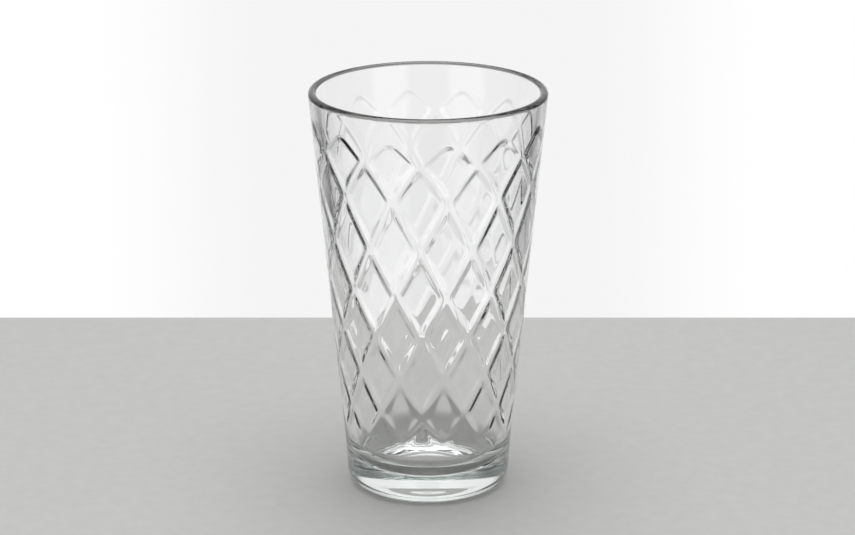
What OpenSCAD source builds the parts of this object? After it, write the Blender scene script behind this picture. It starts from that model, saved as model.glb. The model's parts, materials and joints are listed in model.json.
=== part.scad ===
// Drinking glass: a tapered tumbler of clear moulded glass. The outside is smooth, and the
// inside of the wall carries a lattice of shallow grooves round raised diamond pads.
// Millimetres, +Z up. The origin is the centre of the foot, on the table.

/* [Glass] */
// Overall height
height = 138.6; // [124:0.2:152]
// Outer diameter at the lip
rim_d = 80; // [74:0.5:88]
// Outer diameter where the wall meets the base
foot_top_d = 57.2; // [53:0.2:62]

/* [Rim] */
// Thickness of the rounded lip
lip_t = 2.7; // [2:0.1:3.4]
// Height of the plain band from the lattice to the top of the lip
rim_band_h = 7.4; // [5:0.2:12]

/* [Wall] */
// Thickness of the wall where it meets the base, measured in a groove
wall_bottom_t = 4.3; // [3.6:0.1:5.4]

/* [Lattice] */
// Diamonds round the glass
lattice_count = 12; // [9:1:15]
// Rows of groove crossings above the base
lattice_rows = 8; // [6:1:10]
// Height of the plain strip between the base and the lowest row of crossings
lattice_foot_h = 2; // [0.6:0.2:6]
// Height of the top rows, which close up into arches below the rim
crown_h = 22.4; // [19:0.2:27]
// Width of a groove's bed half way up the lattice
groove_w = 0.5; // [0.3:0.1:2]
// Width of the slope from a groove's bed to its pad, half way up the lattice
flank_w = 2.3; // [1.2:0.1:3]
// Height of a pad above the grooves' beds
pad_h = 0.47; // [0.2:0.01:0.9]
// Height over which the pads grow out of the plain strip
pad_fade_h = 12; // [4:1:20]

/* [Base] */
// Height of the base, up to the top of the round inner corner
base_h = 17.4; // [15:0.2:21]
// Height of the inner floor above the table
floor_h = 8.4; // [6:0.2:11]
// Diameter of the foot on the table, before its edge is rounded
foot_bottom_d = 54.8; // [51:0.2:56]
// Radius of the rounded lower edge of the foot
foot_edge_r = 5.6; // [3:0.2:7]
// Width of the flat ring that the glass stands on, round the hollow under the base
stand_w = 2.7; // [1.5:0.1:6]
// Depth of the hollow under the base
punt_h = 1.8; // [0.5:0.1:3]

/* [Hidden] */
glass_tint = [0.84, 0.87, 0.87, 0.45];
// Segments of a round stretch of an outline
arc_steps = 10;
// How far the core that shapes the inside runs past both ends of the wall
core_over = 2;
// Rows at the top of the lattice that close up into arches, and how late in the crown they do
crown_rows = 2;
crown_power = 1.64;

// Heights of the lip's widest ring and of the joint between the wall and the rim
lip_z = height - lip_t / 2;
rim_z = height - rim_band_h;

// Radius gained for each millimetre up, on the wall's two faces and on the foot
outer_slope = (rim_d - foot_top_d) / 2 / (lip_z - base_h);
inner_slope = outer_slope + (wall_bottom_t - lip_t) / (lip_z - base_h);
foot_slope = (foot_top_d - foot_bottom_d) / 2 / base_h;
outer_lean = atan(outer_slope);
inner_lean = atan(inner_slope);
foot_lean = atan(foot_slope);
function outer_r(z) = foot_top_d / 2 + outer_slope * (z - base_h);
function inner_r(z) = foot_top_d / 2 - wall_bottom_t + inner_slope * (z - base_h);

// The grooves keep their angle up the cone, so each row is taller than the one below it
lattice_z = base_h + lattice_foot_h;
row_growth = ln(inner_r(rim_z - crown_h) / inner_r(lattice_z)) / (lattice_rows - crown_rows);
// Height of a place counted in rows, as if the rows went on growing to the top
function open_z(w) = lattice_z + inner_r(lattice_z) / inner_slope * (exp(row_growth * w) - 1);
// Height of a place counted in rows, with the crown closed up to end at the rim
function row_z(w) =
    let (crown = max(0, w - lattice_rows + crown_rows) / crown_rows)
    open_z(w) - (open_z(lattice_rows) - rim_z) * pow(crown, crown_power);

// A cell's breadth across a groove, half way up, turns widths into shares of a cell
mid_row = lattice_rows / 2;
mid_row_h = row_z(mid_row + 0.5) - row_z(mid_row - 0.5);
mid_half_w = PI * inner_r(row_z(mid_row)) / lattice_count;
cell_breadth = 2 * mid_half_w * mid_row_h / norm([mid_half_w, mid_row_h]);
bed_share = groove_w / 2 / cell_breadth;
flank_share = flank_w / cell_breadth;
// Lines along a cell: mid groove, edge of the bed, edge of the pad, mid pad, and back again
cell_lines = [0, bed_share, bed_share + flank_share, 0.5,
              1 - bed_share - flank_share, 1 - bed_share];
lines_per_cell = len(cell_lines);
lines_round = lattice_count * lines_per_cell;
lines_up = lattice_rows * lines_per_cell;

// Points of an arc about c, from one angle to another
function arc(c, r, from, to) =
    [for (i = [0:arc_steps])
        let (turn = from + (to - from) * i / arc_steps)
        c + r * [cos(turn), sin(turn)]];

// Point at height z on a ring of radius r
function ring_point(r, turn, z) = [r * cos(turn), r * sin(turn), z];

// Place of a lattice line, counted in cells
function line_at(i) = floor(i / lines_per_cell) + cell_lines[i % lines_per_cell];
// Turn about the axis of the place where line i of one family crosses line j of the other
function cross_turn(i, j) = 180 * (line_at(i) + line_at(j)) / lattice_count;
// True on the pad between the flanks of a cell
function on_pad(i) =
    let (share = cell_lines[i % lines_per_cell])
    share > bed_share && share < 1 - bed_share;
// Row of the centre of the cell that lines i and j cross in
function cell_row(i, j) = floor(j / lines_per_cell) - floor(i / lines_per_cell);
// Share of a pad's full height that is reached at height z, from none at the lattice's foot
function grown(z) =
    let (share = min(1, (z - lattice_z) / pad_fade_h))
    pow(share, 2) * (3 - 2 * share);
// Pads stand proud of the grooves, but not between the arches
function proud(i, j, z) =
    on_pad(i) && on_pad(j) && cell_row(i, j) < lattice_rows ? pad_h * grown(z) : 0;
// Point of the wall's inner face where lines i and j cross
function lattice_point(i, j) =
    let (z = row_z(line_at(j) - line_at(i)))
    ring_point(inner_r(z) - proud(i, j, z), cross_turn(i, j), z);

// Core whose side is the wall's inner face, grooves and pads included, run on past both ends
module lattice_core() {
    levels = lines_up + 3;
    low_z = base_h - core_over;
    high_z = rim_z + core_over;
    function at(i, up) = (i % lines_round) * levels + up + 1;
    points = [for (i = [0:lines_round - 1])
        each concat([ring_point(inner_r(low_z), cross_turn(i, i), low_z)],
                    [for (up = [0:lines_up]) lattice_point(i, i + up)],
                    [ring_point(inner_r(high_z), cross_turn(i, i + lines_up), high_z)])];
    low_skirt = [for (i = [0:lines_round - 1])
        each [[at(i, -1), at(i, 0), at(i + 1, 0)], [at(i, -1), at(i + 1, 0), at(i + 1, -1)]]];
    low_edge = [for (i = [0:lines_round - 1]) [at(i, 0), at(i, 1), at(i + 1, 0)]];
    panes = [for (i = [0:lines_round - 1], up = [1:lines_up - 1])
        each [[at(i, up), at(i, up + 1), at(i + 1, up)],
              [at(i, up), at(i + 1, up), at(i + 1, up - 1)]]];
    high_edge = [for (i = [0:lines_round - 1])
        [at(i, lines_up), at(i + 1, lines_up), at(i + 1, lines_up - 1)]];
    high_skirt = [for (i = [0:lines_round - 1])
        each [[at(i, lines_up), at(i, lines_up + 1), at(i + 1, lines_up + 1)],
              [at(i, lines_up), at(i + 1, lines_up + 1), at(i + 1, lines_up)]]];
    under = [for (i = [0:lines_round - 1]) at(i, -1)];
    over = [for (i = [lines_round - 1:-1:0]) at(i, lines_up + 1)];
    polyhedron(points, concat(low_skirt, low_edge, panes, high_edge, high_skirt, [under, over]));
}

// Plain band under the lip, with a fully rounded edge to drink from
module rim() {
    lip_c = [rim_d / 2 - lip_t / 2, lip_z];
    outline = concat([[inner_r(rim_z), rim_z], [outer_r(rim_z), rim_z]],
                     arc(lip_c, lip_t / 2, -outer_lean, 180 - inner_lean));
    color(glass_tint) rotate_extrude($fn = 180) polygon(outline);
}

// Tapered wall, smooth outside, with the lattice of grooves and diamond pads inside
module wall() {
    color(glass_tint) difference() {
        translate([0, 0, base_h])
            cylinder(h = rim_z - base_h, r1 = outer_r(base_h), r2 = outer_r(rim_z), $fn = 180);
        lattice_core();
    }
}

// Heavy base: the foot, the inner floor with its round corner, and the hollow below
module base() {
    edge_c = [foot_bottom_d / 2 + foot_edge_r * (tan(foot_lean) - 1 / cos(foot_lean)), foot_edge_r];
    // The inner corner is as round as the height from the floor to the top of the base allows
    corner_r = (base_h - floor_h) / (1 - sin(inner_lean));
    corner_c = [inner_r(base_h) - corner_r * cos(inner_lean), floor_h + corner_r];
    punt_edge_r = edge_c.x - stand_w;
    punt_r = (pow(punt_edge_r, 2) + pow(punt_h, 2)) / 2 / punt_h;
    punt_half = asin(punt_edge_r / punt_r);
    outline = concat(arc([0, punt_h - punt_r], punt_r, 90, 90 - punt_half),
                     arc(edge_c, foot_edge_r, -90, -foot_lean),
                     [[foot_top_d / 2, base_h]],
                     arc(corner_c, corner_r, -inner_lean, -90),
                     [[0, floor_h]]);
    color(glass_tint) rotate_extrude($fn = 180) polygon(outline);
}

rim();
wall();
base();
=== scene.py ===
"""Clear glass tumbler with a diamond lattice on the inside of its wall, in a plain studio."""
import json
import logging
import math
from collections.abc import Sequence
from dataclasses import dataclass
from enum import Enum

import bpy
import numpy as np
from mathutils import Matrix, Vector

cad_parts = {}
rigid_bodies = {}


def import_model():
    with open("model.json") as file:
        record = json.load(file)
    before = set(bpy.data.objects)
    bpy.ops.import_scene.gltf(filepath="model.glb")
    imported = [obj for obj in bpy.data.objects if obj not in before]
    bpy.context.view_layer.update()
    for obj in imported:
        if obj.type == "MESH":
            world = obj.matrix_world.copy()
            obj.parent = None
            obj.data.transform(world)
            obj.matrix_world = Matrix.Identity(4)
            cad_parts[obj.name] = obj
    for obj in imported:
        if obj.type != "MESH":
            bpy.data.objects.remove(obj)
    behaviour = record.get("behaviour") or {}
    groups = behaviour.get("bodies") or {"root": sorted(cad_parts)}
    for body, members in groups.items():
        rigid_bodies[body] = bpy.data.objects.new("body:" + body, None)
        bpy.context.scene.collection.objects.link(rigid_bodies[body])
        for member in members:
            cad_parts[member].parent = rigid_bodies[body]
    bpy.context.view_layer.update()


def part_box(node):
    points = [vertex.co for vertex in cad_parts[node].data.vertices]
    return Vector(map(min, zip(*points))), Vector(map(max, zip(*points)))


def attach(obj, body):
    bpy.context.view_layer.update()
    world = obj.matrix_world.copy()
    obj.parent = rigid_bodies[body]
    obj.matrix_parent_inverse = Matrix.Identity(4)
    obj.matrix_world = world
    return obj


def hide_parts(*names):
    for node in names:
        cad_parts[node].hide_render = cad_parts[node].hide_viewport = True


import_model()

log = logging.getLogger("tumbler")

MM = 0.001
# Points that lie closer together than this are merged into one
MERGE = 0.005 * MM
# Radius and height of a place on an outline
Point = tuple[float, float]
# Angle in degrees, and the tone there
Stop = tuple[float, float]


class Zone(Enum):
    """Zones of the one piece of glass, as the CAD names them."""

    RIM = "rim"
    WALL = "wall"
    BASE = "base"


class Half(Enum):
    """Halves of a diamond cell, above or below the line through its side corners."""

    UPPER = "upper"
    LOWER = "lower"


def linear(hex_colour: str) -> tuple[float, float, float, float]:
    """Turns an sRGB hex colour into linear red, green, blue and alpha.

    Args:
        hex_colour: six hex digits, such as "e8ecea".

    Returns:
        The linear colour with an alpha of 1.
    """
    channels = [int(hex_colour[i:i + 2], 16) / 255 for i in (0, 2, 4)]
    parts = [c / 12.92 if c <= 0.04045 else ((c + 0.055) / 1.055) ** 2.4 for c in channels]
    return (*parts, 1.0)


def add_node(tree: bpy.types.NodeTree, kind: str, values: dict | None = None,
             links: dict | None = None, **settings: object) -> bpy.types.Node:
    """Adds one node to a tree, sets it up and links its inputs.

    Args:
        tree: the node tree.
        kind: the node's Blender type name.
        values: input socket to plain value.
        links: input socket to the output socket that feeds it.
        settings: the node's own properties.

    Returns:
        The new node.
    """
    node = tree.nodes.new(kind)
    for name, value in settings.items():
        setattr(node, name, value)
    for socket, value in (values or {}).items():
        node.inputs[socket].default_value = value
    for socket, source in (links or {}).items():
        tree.links.new(source, node.inputs[socket])
    return node


def deselect_all() -> None:
    """Leaves object mode with nothing selected."""
    if bpy.context.object is not None and bpy.context.object.mode != "OBJECT":
        bpy.ops.object.mode_set(mode="OBJECT")
    bpy.ops.object.select_all(action="DESELECT")


def pick(*objects: bpy.types.Object) -> None:
    """Selects some objects alone and makes the first one active.

    Args:
        objects: the objects, in object mode.
    """
    deselect_all()
    for obj in objects:
        obj.select_set(True)
    bpy.context.view_layer.objects.active = objects[0]


def edit_all(obj: bpy.types.Object) -> None:
    """Goes into edit mode on one object, with the whole of its mesh selected.

    Args:
        obj: the object, which has a mesh.
    """
    pick(obj)
    bpy.ops.object.mode_set(mode="EDIT")
    bpy.ops.mesh.select_all(action="SELECT")


def apply_modifiers(obj: bpy.types.Object) -> None:
    """Applies all of an object's modifiers in order.

    Args:
        obj: the object.
    """
    pick(obj)
    for name in [m.name for m in obj.modifiers]:
        bpy.ops.object.modifier_apply(modifier=name)


def arc(centre: Point, radius: float, start: float, end: float, steps: int) -> list[Point]:
    """Lists points along an arc of an outline.

    Args:
        centre: radius and height of the arc's centre.
        radius: the arc's own radius.
        start: first angle in degrees, 0 pointing outwards and 90 up.
        end: last angle in degrees.
        steps: number of segments.

    Returns:
        steps + 1 points, as radius and height.
    """
    turns = np.radians(np.linspace(start, end, steps + 1))
    return [(centre[0] + radius * math.cos(t), centre[1] + radius * math.sin(t)) for t in turns]


def straight(start: Point, end: Point, hold: float, steps: int) -> list[Point]:
    """Lists points along a straight stretch, with a point close to each end to hold its shading.

    Args:
        start: first point, as radius and height. It isn't listed.
        end: last point. It isn't listed either.
        hold: distance of the close points from the ends.
        steps: number of segments between the close points.

    Returns:
        steps + 1 points.
    """
    a, b = np.array(start), np.array(end)
    share = hold / np.linalg.norm(b - a)
    return [tuple(a + (b - a) * t) for t in np.linspace(share, 1 - share, steps + 1)]


def ease(share: np.ndarray) -> np.ndarray:
    """Holds shares between 0 and 1, with a soft start and end to the way between them."""
    held = np.clip(share, 0, 1)
    return held ** 2 * (3 - 2 * held)


@dataclass(frozen=True)
class GlassSizes:
    """Sizes of the glass in metres: the first five from the CAD frame, the rest by name."""

    height: float
    rim_r: float
    rim_z: float
    base_h: float
    foot_top_r: float
    lip_t: float = 2.7 * MM
    wall_bottom_t: float = 4.3 * MM
    floor_h: float = 8.4 * MM
    foot_bottom_r: float = 27.4 * MM
    foot_edge_r: float = 5.6 * MM
    punt_r: float = 19.47 * MM
    punt_h: float = 1.8 * MM

    @classmethod
    def from_frame(cls) -> "GlassSizes":
        """Reads the main sizes from the boxes of the CAD nodes.

        Returns:
            The sizes, with the rest at their named values.
        """
        rim_low, rim_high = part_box(Zone.RIM.value)
        base_low, base_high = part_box(Zone.BASE.value)
        return cls(height=rim_high.z, rim_r=(rim_high.x - rim_low.x) / 2, rim_z=rim_low.z,
                   base_h=base_high.z, foot_top_r=(base_high.x - base_low.x) / 2)

    @property
    def lip_z(self) -> float:
        """Height of the lip's widest ring."""
        return self.height - self.lip_t / 2

    @property
    def outer_slope(self) -> float:
        """Radius that the outer face gains for each metre up."""
        return (self.rim_r - self.foot_top_r) / (self.lip_z - self.base_h)

    @property
    def inner_slope(self) -> float:
        """Radius that the inner face gains for each metre up."""
        return self.outer_slope + (self.wall_bottom_t - self.lip_t) / (self.lip_z - self.base_h)

    @property
    def foot_lean(self) -> float:
        """Lean of the foot's side, in radians."""
        return math.atan((self.foot_top_r - self.foot_bottom_r) / self.base_h)

    @property
    def foot_edge_centre_r(self) -> float:
        """Radius of the ring of centres of the foot's rounded edge."""
        lean = self.foot_lean
        return self.foot_bottom_r + self.foot_edge_r * (math.tan(lean) - 1 / math.cos(lean))

    def inner_r(self, z: float | np.ndarray) -> float | np.ndarray:
        """Radius of the inner face in a groove, at a height or at many heights."""
        return self.foot_top_r - self.wall_bottom_t + self.inner_slope * (z - self.base_h)


@dataclass(frozen=True)
class DiamondLattice:
    """Inner face of the wall: shallow grooves that cross, with a raised diamond pad in each cell.

    A place on the face is counted in cells along the two families of grooves, a and b. Half of
    a + b then runs round the glass, and b - a runs up it, one row of crossings for each unit.
    """

    sizes: GlassSizes
    count: int = 12
    rows: int = 8
    foot_h: float = 2.0 * MM
    fade_h: float = 12.0 * MM
    crown_rows: int = 2
    crown_h: float = 22.4 * MM
    crown_power: float = 1.64
    groove_w: float = 0.5 * MM
    flank_w: float = 2.3 * MM
    pad_h: float = 0.47 * MM
    corner_round: float = 1.4 * MM
    crown_round: float = 4.0 * MM
    # Share of their height that the pads lose towards the tops of the arches
    crown_sink: float = 0.3
    bed_steps: int = 2
    flank_steps: int = 6
    pad_steps: int = 5

    @property
    def low_z(self) -> float:
        """Height of the lattice's lowest row of crossings."""
        return self.sizes.base_h + self.foot_h

    @property
    def growth(self) -> float:
        """Share by which each row outgrows the one below, so that the grooves keep their angle."""
        top_r = self.sizes.inner_r(self.sizes.rim_z - self.crown_h)
        low_r = self.sizes.inner_r(self.low_z)
        return math.log(top_r / low_r) / (self.rows - self.crown_rows)

    def open_z(self, w: float | np.ndarray) -> float | np.ndarray:
        """Height of places counted in rows, as if the rows went on growing to the top."""
        low_r = self.sizes.inner_r(self.low_z)
        return self.low_z + low_r / self.sizes.inner_slope * (np.exp(self.growth * w) - 1)

    def row_z(self, w: float | np.ndarray) -> float | np.ndarray:
        """Height of places counted in rows, with the top rows closed up into arches."""
        over = np.maximum(0, w - self.rows + self.crown_rows) / self.crown_rows
        return self.open_z(w) - (self.open_z(self.rows) - self.sizes.rim_z) * over ** self.crown_power

    def rows_per_metre(self, w: float | np.ndarray) -> float | np.ndarray:
        """How fast the rows go by with height."""
        step = 0.01
        return 2 * step / (self.row_z(w + step) - self.row_z(w - step))

    def cell_lines(self) -> np.ndarray:
        """Places the mesh lines across a cell, gathered on the flanks of the grooves.

        Returns:
            Rising places from 0 to 1, half a groove at each end and the pad between.
        """
        mid = self.rows / 2
        half_w = math.pi * self.sizes.inner_r(self.row_z(mid)) / self.count
        row_h = 1 / self.rows_per_metre(mid)
        breadth = 2 * half_w * row_h / math.hypot(half_w, row_h)
        bed = self.groove_w / 2 / breadth
        pad = bed + self.flank_w / breadth
        half = np.concatenate([np.linspace(0, bed, self.bed_steps + 1),
                               np.linspace(bed, pad, self.flank_steps + 1)[1:],
                               np.linspace(pad, 0.5, self.pad_steps + 1)[1:]])
        return np.concatenate([half, 1 - half[-2::-1]])

    @staticmethod
    def soft_least(one: np.ndarray, two: np.ndarray, blend: np.ndarray) -> np.ndarray:
        """Smaller of two distances, rounded over where they are alike, for round pad corners."""
        near = np.maximum(blend - np.abs(one - two), 0) / blend
        return np.minimum(one, two) - near ** 2 * blend / 4

    def relief(self, a: np.ndarray, b: np.ndarray) -> np.ndarray:
        """Gives the height of the inner face above the grooves' beds.

        Args:
            a: places counted in cells along one family of grooves.
            b: the same places along the other family.

        Returns:
            Heights in metres, none in the grooves and between the arches.
        """
        w = b - a
        z = self.row_z(w)
        pitch = 2 * math.pi * self.sizes.inner_r(z) / self.count
        cells_per_metre = np.hypot(1 / pitch, self.rows_per_metre(w) / 2)
        crown = np.clip(w - self.rows + 1, 0, 1)
        blend = self.corner_round + (self.crown_round - self.corner_round) * crown
        edge = self.soft_least(np.abs(a - np.round(a)) / cells_per_metre,
                               np.abs(b - np.round(b)) / cells_per_metre, blend)
        climb = ease((edge - self.groove_w / 2) / self.flank_w)
        fade = ease((z - self.low_z) / self.fade_h)
        proud = self.pad_h * (1 - self.crown_sink * crown)
        # A place on the line between two cells counts as in the further one
        slack = 1e-6
        cell_row = np.floor(b + slack) - np.floor(a + slack)
        return np.where(cell_row < self.rows, proud * climb * fade, 0)

    def tile(self, name: str, row: int) -> bpy.types.Object:
        """Adds one flat cell of the lattice as a grid whose lines gather on the flanks.

        Args:
            name: the object's name.
            row: row of crossings that the cell's centre is on.

        Returns:
            The cell, one unit wide along each family of grooves.
        """
        lines = self.cell_lines()
        steps = len(lines) - 1
        deselect_all()
        bpy.ops.mesh.primitive_grid_add(x_subdivisions=steps, y_subdivisions=steps, size=1.0,
                                        location=(0, 0, 0))
        cell = bpy.context.object
        cell.name = name
        for vertex in cell.data.vertices:
            vertex.co.x = lines[round((vertex.co.x + 0.5) * steps)]
            vertex.co.y = lines[round((vertex.co.y + 0.5) * steps)] + row
        return cell

    def cut_half(self, cell: bpy.types.Object, row: float, keep: Half) -> None:
        """Cuts a flat cell along a line that runs round the glass and keeps one side.

        Args:
            cell: the flat cell.
            row: place of the line, counted in rows.
            keep: the half that stays.
        """
        edit_all(cell)
        bpy.ops.mesh.bisect(plane_co=(0, row, 0), plane_no=(-1, 1, 0), threshold=1e-5,
                            clear_inner=keep is Half.UPPER, clear_outer=keep is Half.LOWER)
        bpy.ops.object.mode_set(mode="OBJECT")

    def repeat(self, cell: bpy.types.Object, rows: int) -> None:
        """Repeats a cell round the glass, and up it where there are more rows than one.

        Args:
            cell: the flat cell.
            rows: number of rows to fill.
        """
        for copies, step in ((self.count, (1, 1, 0)), (rows, (0, 1, 0))):
            array = cell.modifiers.new("repeat", "ARRAY")
            array.use_relative_offset = False
            array.use_constant_offset = True
            array.constant_offset_displace = step
            array.count = copies
        apply_modifiers(cell)

    def wrap(self, sheet: bpy.types.Object) -> None:
        """Wraps the flat sheet of cells round the inner face and raises its pads.

        Args:
            sheet: the sheet, whose points lie at their places counted in cells.
        """
        flat = np.empty(len(sheet.data.vertices) * 3)
        sheet.data.vertices.foreach_get("co", flat)
        a, b = flat[0::3], flat[1::3]
        z = self.row_z(b - a)
        r = self.sizes.inner_r(z) - self.relief(a, b)
        turn = math.pi * (a + b) / self.count
        places = np.stack([r * np.cos(turn), r * np.sin(turn), z], axis=1)
        sheet.data.vertices.foreach_set("co", places.ravel())
        sheet.data.update()

    def build(self) -> bpy.types.Object:
        """Builds the whole inner face: full cells, half cells at both ends, wrapped and closed.

        Returns:
            The face as an open sleeve, with one border at the base and one at the rim.
        """
        full = self.tile("lattice_face", 1)
        low = self.tile("lattice_low", 0)
        high = self.tile("lattice_high", self.rows)
        self.cut_half(low, 0, Half.UPPER)
        self.cut_half(high, self.rows, Half.LOWER)
        self.repeat(full, self.rows - 1)
        self.repeat(low, 1)
        self.repeat(high, 1)
        pick(full, low, high)
        bpy.ops.object.join()
        self.wrap(full)
        edit_all(full)
        bpy.ops.mesh.remove_doubles(threshold=MERGE)
        bpy.ops.object.mode_set(mode="OBJECT")
        return full


@dataclass(frozen=True)
class ClearGlass:
    """Soda-lime glass, moulded and fire-polished: clear, bright at its edges, faintly grey-green.

    The surface is glossy all over, with the slow ripple that a mould leaves, and it is worn
    matt only on the ring that it stands on.
    """

    name: str = "soda_lime_glass_moulded"
    body: str = "ffffff"
    depth_tint: str = "e6f0ec"
    absorption: float = 8.0
    ior: float = 1.52
    ripple_width: float = 16 * MM
    ripple_depth: float = 0.02 * MM
    wear_height: float = 0.25 * MM
    # Real scuffs are finer than this, and are drawn as coarse as they need to show
    wear_grain: float = 0.6 * MM
    worn_roughness: float = 0.35

    def material(self) -> bpy.types.Material:
        """Makes the glass as a node material.

        Returns:
            The material, with its transmission, IOR and absorption set as plain numbers.
        """
        made = bpy.data.materials.new(self.name)
        made.use_nodes = True
        tree = made.node_tree
        tree.nodes.clear()
        place = add_node(tree, "ShaderNodeTexCoord").outputs["Object"]
        ripple = add_node(tree, "ShaderNodeTexNoise", {"Scale": 1 / self.ripple_width, "Detail": 1.0},
                          {"Vector": place})
        bump = add_node(tree, "ShaderNodeBump", {"Strength": 1.0, "Distance": self.ripple_depth},
                        {"Height": ripple.outputs["Fac"]})
        height = add_node(tree, "ShaderNodeSeparateXYZ", links={"Vector": place}).outputs["Z"]
        low = add_node(tree, "ShaderNodeMapRange",
                       {"From Min": self.wear_height, "From Max": 0.0, "To Min": 0.0, "To Max": 1.0},
                       {"Value": height})
        grain = add_node(tree, "ShaderNodeTexNoise", {"Scale": 1 / self.wear_grain, "Detail": 3.0},
                         {"Vector": place})
        worn = add_node(tree, "ShaderNodeMath", links={0: low.outputs["Result"], 1: grain.outputs["Fac"]},
                        operation="MULTIPLY")
        rough = add_node(tree, "ShaderNodeMath", {1: self.worn_roughness}, {0: worn.outputs["Value"]},
                         operation="MULTIPLY")
        shader = add_node(tree, "ShaderNodeBsdfPrincipled",
                          {"Base Color": linear(self.body), "IOR": self.ior, "Transmission Weight": 1.0},
                          {"Roughness": rough.outputs["Value"], "Normal": bump.outputs["Normal"]})
        depth = add_node(tree, "ShaderNodeVolumeAbsorption",
                         {"Color": linear(self.depth_tint), "Density": self.absorption})
        add_node(tree, "ShaderNodeOutputMaterial",
                 links={"Surface": shader.outputs["BSDF"], "Volume": depth.outputs["Volume"]})
        return made


@dataclass(frozen=True)
class Tumbler:
    """The whole glass as one closed mesh: inner face, lip, outside, foot, hollow and floor."""

    sizes: GlassSizes
    lattice: DiamondLattice
    finish: ClearGlass
    hold: float = 0.35 * MM
    lip_steps: int = 18
    edge_steps: int = 14
    corner_steps: int = 14
    wall_steps: int = 20
    floor_steps: int = 4
    punt_steps: int = 10
    short_steps: int = 2

    def outside_profile(self) -> list[Point]:
        """Draws the outline from the lattice's upper border over the lip and down to the hollow.

        Returns:
            Points as radius and height, the last one on the axis.
        """
        s = self.sizes
        outer_lean = math.degrees(math.atan(s.outer_slope))
        inner_lean = math.degrees(math.atan(s.inner_slope))
        lip = arc((s.rim_r - s.lip_t / 2, s.lip_z), s.lip_t / 2, 180 - inner_lean, -outer_lean,
                  self.lip_steps)
        edge = arc((s.foot_edge_centre_r, s.foot_edge_r), s.foot_edge_r,
                   -math.degrees(s.foot_lean), -90, self.edge_steps)
        sphere_r = (s.punt_r ** 2 + s.punt_h ** 2) / 2 / s.punt_h
        half = math.degrees(math.asin(s.punt_r / sphere_r))
        punt = arc((0, s.punt_h - sphere_r), sphere_r, 90 - half, 90, self.punt_steps)
        start = (s.inner_r(s.rim_z), s.rim_z)
        foot_top = (s.foot_top_r, s.base_h)
        return [start, *straight(start, lip[0], self.hold, self.short_steps), *lip,
                *straight(lip[-1], foot_top, self.hold, self.wall_steps), foot_top,
                *straight(foot_top, edge[0], self.hold, self.short_steps), *edge,
                *straight(edge[-1], punt[0], self.hold, self.short_steps), *punt]

    def inside_profile(self) -> list[Point]:
        """Draws the outline from the lattice's lower border round the corner to the floor.

        Returns:
            Points as radius and height, the last one on the axis.
        """
        s = self.sizes
        lean = math.atan(s.inner_slope)
        corner_r = (s.base_h - s.floor_h) / (1 - math.sin(lean))
        centre = (s.inner_r(s.base_h) - corner_r * math.cos(lean), s.floor_h + corner_r)
        corner = arc(centre, corner_r, -math.degrees(lean), -90, self.corner_steps)
        start = (s.inner_r(self.lattice.low_z), self.lattice.low_z)
        middle = (0, s.floor_h)
        return [start, *straight(start, corner[0], self.hold, self.short_steps), *corner,
                *straight(corner[-1], middle, self.hold, self.floor_steps)[:-1], middle]

    def border(self, face: bpy.types.Object, z: float) -> bpy.types.Object:
        """Copies the border of the inner face at one height into a ring of its own.

        Args:
            face: the inner face, an open sleeve.
            z: height of the border.

        Returns:
            The ring of edges.
        """
        level_within = 0.01 * MM
        edit_all(face)
        bpy.ops.mesh.select_mode(type="EDGE")
        bpy.ops.mesh.region_to_loop()
        bpy.ops.object.mode_set(mode="OBJECT")
        for edge in face.data.edges:
            level = all(abs(face.data.vertices[v].co.z - z) < level_within for v in edge.vertices)
            edge.select = edge.select and level
        bpy.ops.object.mode_set(mode="EDIT")
        bpy.ops.mesh.duplicate()
        before = set(bpy.context.scene.objects)
        bpy.ops.mesh.separate(type="SELECTED")
        bpy.ops.object.mode_set(mode="OBJECT")
        return next(o for o in bpy.context.scene.objects if o not in before)

    def sweep(self, ring: bpy.types.Object, profile: Sequence[Point]) -> None:
        """Extrudes a ring of edges through a profile and closes it at the axis.

        Args:
            ring: the ring, lying on the profile's first point.
            profile: radius and height of each ring to come, the last one on the axis.
        """
        edit_all(ring)
        for (r0, z0), (r1, z1) in zip(profile[:-2], profile[1:-1]):
            bpy.ops.mesh.extrude_region_move(TRANSFORM_OT_translate={"value": (0, 0, z1 - z0)})
            bpy.ops.transform.resize(value=(r1 / r0, r1 / r0, 1), center_override=(0, 0, 0))
        bpy.ops.mesh.extrude_region_move(
            TRANSFORM_OT_translate={"value": (0, 0, profile[-1][1] - profile[-2][1])})
        bpy.ops.mesh.merge(type="CENTER")
        bpy.ops.object.mode_set(mode="OBJECT")

    def build(self) -> bpy.types.Object:
        """Builds, closes and dresses the glass.

        Returns:
            The finished piece.
        """
        glass = self.lattice.build()
        outside = self.border(glass, self.sizes.rim_z)
        inside = self.border(glass, self.lattice.low_z)
        self.sweep(outside, self.outside_profile())
        self.sweep(inside, self.inside_profile())
        pick(glass, outside, inside)
        bpy.ops.object.join()
        edit_all(glass)
        bpy.ops.mesh.remove_doubles(threshold=MERGE)
        bpy.ops.mesh.normals_make_consistent(inside=False)
        bpy.ops.object.mode_set(mode="OBJECT")
        bpy.ops.object.shade_smooth()
        glass.name = "tumbler"
        glass.data.materials.clear()
        glass.data.materials.append(self.finish.material())
        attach(glass, "root")
        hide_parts(*[zone.value for zone in Zone])
        return glass


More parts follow.
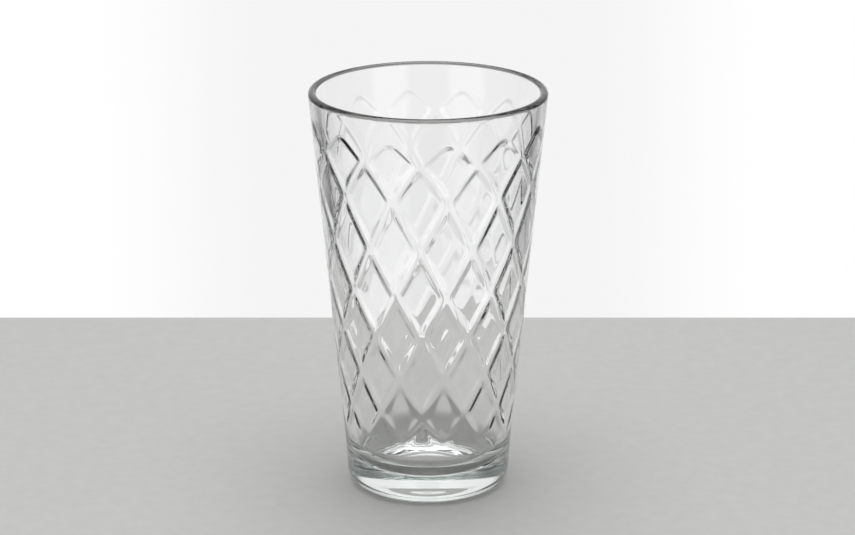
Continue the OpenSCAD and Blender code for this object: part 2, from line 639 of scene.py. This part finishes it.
@dataclass(frozen=True)
class PaleFelt:
    """Pale wool felt, pressed: a faint mottle, and a sheen painted into its colour.

    Its colour is painted paler where the table is looked along and greyer where it is looked
    into steeply, by the Layer Weight: a painted sheen.
    """

    name: str = "pale_wool_felt_painted_sheen"
    # Colour with the painted sheen fully on, where the table is looked along
    painted_sheen_colour: str = "e2e2e0"
    # Colour without the painted sheen, where the felt is looked into steeply
    steep_look_colour: str = "b4b4b2"
    # Shares of turning away from the eye at which the steep-look colour and the painted sheen show fully
    steep: float = 0.40
    low: float = 0.60
    mottle: float = 5 * MM
    mottle_share: float = 0.05
    roughness: float = 0.9
    specular: float = 0.1

    def material(self) -> bpy.types.Material:
        """Makes the felt as a node material.

        Returns:
            The material, with a painted sheen in its colour.
        """
        made = bpy.data.materials.new(self.name)
        made.use_nodes = True
        tree = made.node_tree
        tree.nodes.clear()
        place = add_node(tree, "ShaderNodeTexCoord").outputs["Object"]
        cloud = add_node(tree, "ShaderNodeTexNoise", {"Scale": 1 / self.mottle, "Detail": 4.0},
                         {"Vector": place})
        # Painted sheen: the Layer Weight makes the colour paler as the felt is looked along
        facing = add_node(tree, "ShaderNodeLayerWeight", {"Blend": 0.5}).outputs["Facing"]
        painted_sheen_mask = add_node(tree, "ShaderNodeMapRange", {"From Min": self.steep, "From Max": self.low},
                         {"Value": facing}, interpolation_type="SMOOTHSTEP")
        tone = add_node(tree, "ShaderNodeMix", {"A": linear(self.steep_look_colour), "B": linear(self.painted_sheen_colour)},
                        {"Factor": painted_sheen_mask.outputs["Result"]}, data_type="RGBA")
        fleck = add_node(tree, "ShaderNodeMapRange",
                         {"To Min": 1 - self.mottle_share, "To Max": 1 + self.mottle_share},
                         {"Value": cloud.outputs["Fac"]})
        shade = add_node(tree, "ShaderNodeVectorMath",
                         links={0: tone.outputs["Result"], "Scale": fleck.outputs["Result"]},
                         operation="SCALE")
        shader = add_node(tree, "ShaderNodeBsdfPrincipled",
                          {"Roughness": self.roughness, "Specular IOR Level": self.specular},
                          {"Base Color": shade.outputs["Vector"]})
        add_node(tree, "ShaderNodeOutputMaterial", links={"Surface": shader.outputs["BSDF"]})
        return made


@dataclass(frozen=True)
class Glow:
    """Lit part of the room, as tones by the turn from straight ahead and by the height."""

    around: tuple[Stop, ...]
    above: tuple[Stop, ...]


@dataclass(frozen=True)
class Studio:
    """Table top, bright backdrop, soft lights and the camera, turned to the photograph's view."""

    view_turn: float = -10.7
    camera_distance: float = 951.5 * MM
    camera_height: float = 384.5 * MM
    camera_aside: float = -0.2 * MM
    pitch: float = 17.95
    focal_px: float = 2950.7
    image_w: int = 855
    sensor: float = 36.0
    clip_near: float = 50 * MM
    clip_far: float = 20000 * MM
    top_behind: float = 172 * MM
    top_before: float = 85 * MM
    top_side: float = 190 * MM
    top_t: float = 24 * MM
    top_drop: float = 0.03 * MM
    top_bevel: float = 2 * MM
    top_bevel_steps: int = 3
    light_height: float = 1200 * MM
    light_side: float = 800 * MM
    light_power: float = 4.0
    # Light that is turned back inside the foot many times still gets out
    bounces: int = 12
    room: float = 0.05
    glows: tuple[Glow, ...] = (
        # Backdrop, a little dimmer in its middle, that ends behind the table's far edge
        Glow(((0, 0.91), (3, 0.91), (7, 1.0), (14, 0.96), (30, 0.5), (55, 0.05)),
             ((-40, 0.15), (-27, 0.35), (-23, 0.8), (-18.8, 1.0), (34, 1.0), (55, 0.2))),
        # Wider upper part of the backdrop
        Glow(((0, 0.92), (40, 0.92), (65, 0.05)),
             ((5, 0.0), (12, 1.0), (30, 1.0), (45, 0.1))),
        # Soft low lights at both sides of the camera
        Glow(((112, 0.0), (125, 1.1), (152, 1.1), (166, 0.0)),
             ((-24, 0.0), (-14, 1.0), (6, 1.0), (20, 0.0))),
        # Grey walls at the sides and behind the camera
        Glow(((60, 0.0), (82, 0.25)),
             ((-75, 0.5), (-45, 1.0))),
        # Pale ceiling
        Glow(((0, 0.6), (180, 0.6)),
             ((28, 0.0), (55, 1.0))),
        # Grey floor of the room, below the table top
        Glow(((15, 0.0), (35, 0.25), (180, 0.25)),
             ((-75, 1.0), (-31, 1.0), (-24, 0.0))),
    )

    def turned(self, x: float, y: float, z: float) -> Vector:
        """Turns a place given as right of, beyond and above the glass into the frame.

        Args:
            x: distance to the right, as the camera sees it.
            y: distance beyond the glass.
            z: height above the table.

        Returns:
            The place in the frame.
        """
        turn = math.radians(self.view_turn)
        across = x * math.cos(turn) - y * math.sin(turn)
        along = x * math.sin(turn) + y * math.cos(turn)
        return Vector((across, along, z))

    def camera(self) -> bpy.types.Object:
        """Adds the camera where the photograph was taken from and makes it the scene's.

        Returns:
            The camera.
        """
        data = bpy.data.cameras.new("photo_view")
        data.sensor_width = self.sensor
        data.lens = self.focal_px / self.image_w * self.sensor
        data.clip_start = self.clip_near
        data.clip_end = self.clip_far
        made = bpy.data.objects.new("photo_view", data)
        bpy.context.scene.collection.objects.link(made)
        made.location = self.turned(self.camera_aside, -self.camera_distance, self.camera_height)
        made.rotation_euler = (math.radians(90 - self.pitch), 0, math.radians(self.view_turn))
        bpy.context.scene.camera = made
        return made

    def table_top(self, finish: PaleFelt) -> bpy.types.Object:
        """Adds the table top, whose far edge lies behind the glass.

        Args:
            finish: the felt that covers it.

        Returns:
            The table top.
        """
        deselect_all()
        bpy.ops.mesh.primitive_cube_add(size=1.0, location=(0, 0, 0))
        top = bpy.context.object
        top.name = "table_top"
        depth = self.top_behind + self.top_before
        top.scale = (2 * self.top_side, depth, self.top_t)
        top.rotation_euler = (0, 0, math.radians(self.view_turn))
        top.location = self.turned(0, self.top_behind - depth / 2, -self.top_t / 2 - self.top_drop)
        bpy.ops.object.transform_apply(location=True, rotation=True, scale=True)
        bevel = top.modifiers.new("edge", "BEVEL")
        bevel.width = self.top_bevel
        bevel.segments = self.top_bevel_steps
        apply_modifiers(top)
        top.data.materials.append(finish.material())
        return top

    def ramp(self, tree: bpy.types.NodeTree, angle: bpy.types.NodeSocket,
             stops: Sequence[Stop], start: float, end: float) -> bpy.types.NodeSocket:
        """Turns an angle into a tone by way of stops.

        Args:
            tree: the node tree.
            angle: the angle in radians.
            stops: degrees and tone of each stop, in rising order.
            start: degrees at the ramp's left end.
            end: degrees at its right end.

        Returns:
            The tone.
        """
        share = add_node(tree, "ShaderNodeMapRange",
                         {"From Min": math.radians(start), "From Max": math.radians(end)},
                         {"Value": angle})
        made = add_node(tree, "ShaderNodeValToRGB", links={"Fac": share.outputs["Result"]})
        made.color_ramp.interpolation = "EASE"
        points = made.color_ramp.elements
        while len(points) < len(stops):
            points.new(0.5)
        for point, (degrees, tone) in zip(points, stops):
            point.position = (degrees - start) / (end - start)
            point.color = (tone, tone, tone, 1)
        return made.outputs["Color"]

    def world(self) -> None:
        """Sets the dim room all round, with each of its lit parts laid over it."""
        made = bpy.data.worlds.new("studio")
        bpy.context.scene.world = made
        made.use_nodes = True
        tree = made.node_tree
        tree.nodes.clear()
        way = add_node(tree, "ShaderNodeTexCoord").outputs["Generated"]
        level = add_node(tree, "ShaderNodeVectorMath", {1: (1, 1, 0)}, {0: way}, operation="MULTIPLY")
        flat = add_node(tree, "ShaderNodeVectorMath", links={0: level.outputs["Vector"]},
                        operation="NORMALIZE")
        ahead = add_node(tree, "ShaderNodeVectorMath", {1: self.turned(0, 1, 0)},
                         {0: flat.outputs["Vector"]}, operation="DOT_PRODUCT")
        around = add_node(tree, "ShaderNodeMath", links={0: ahead.outputs["Value"]}, operation="ARCCOSINE")
        height = add_node(tree, "ShaderNodeSeparateXYZ", links={"Vector": way}).outputs["Z"]
        above = add_node(tree, "ShaderNodeMath", links={0: height}, operation="ARCSINE")
        dim = add_node(tree, "ShaderNodeRGB")
        dim.outputs["Color"].default_value = (self.room, self.room, self.room, 1)
        brightest = dim.outputs["Color"]
        for part in self.glows:
            lit = add_node(tree, "ShaderNodeMix", {"Factor": 1.0},
                           {"A": self.ramp(tree, around.outputs["Value"], part.around, 0, 180),
                            "B": self.ramp(tree, above.outputs["Value"], part.above, -90, 90)},
                           data_type="RGBA", blend_type="MULTIPLY")
            both = add_node(tree, "ShaderNodeMix", {"Factor": 1.0},
                            {"A": brightest, "B": lit.outputs["Result"]},
                            data_type="RGBA", blend_type="LIGHTEN")
            brightest = both.outputs["Result"]
        glow = add_node(tree, "ShaderNodeBackground", {"Strength": 1.0}, {"Color": brightest})
        add_node(tree, "ShaderNodeOutputWorld", links={"Surface": glow.outputs["Background"]})

    def overhead_light(self) -> bpy.types.Object:
        """Adds a square softbox straight above the glass, facing down.

        Returns:
            The light.
        """
        data = bpy.data.lights.new("overhead", "AREA")
        data.shape = "RECTANGLE"
        data.size = self.light_side
        data.size_y = self.light_side
        data.energy = self.light_power
        made = bpy.data.objects.new("overhead", data)
        bpy.context.scene.collection.objects.link(made)
        made.location = (0, 0, self.light_height)
        return made

    def build(self, finish: PaleFelt) -> None:
        """Adds everything in the studio but the glass.

        Args:
            finish: the felt on the table top.
        """
        bpy.context.scene.view_settings.view_transform = "Standard"
        paths = bpy.context.scene.cycles
        paths.max_bounces = self.bounces
        paths.glossy_bounces = self.bounces
        paths.transmission_bounces = self.bounces
        self.camera()
        self.table_top(finish)
        self.world()
        self.overhead_light()


def main() -> None:
    """Builds the studio and the glass, and reports each piece."""
    logging.basicConfig(level=logging.INFO, format="%(name)s: %(message)s")
    Studio().build(PaleFelt())
    sizes = GlassSizes.from_frame()
    glass = Tumbler(sizes, DiamondLattice(sizes), ClearGlass()).build()
    log.info("%s: %d faces", glass.name, len(glass.data.polygons))


if __name__ == "__main__":
    main()
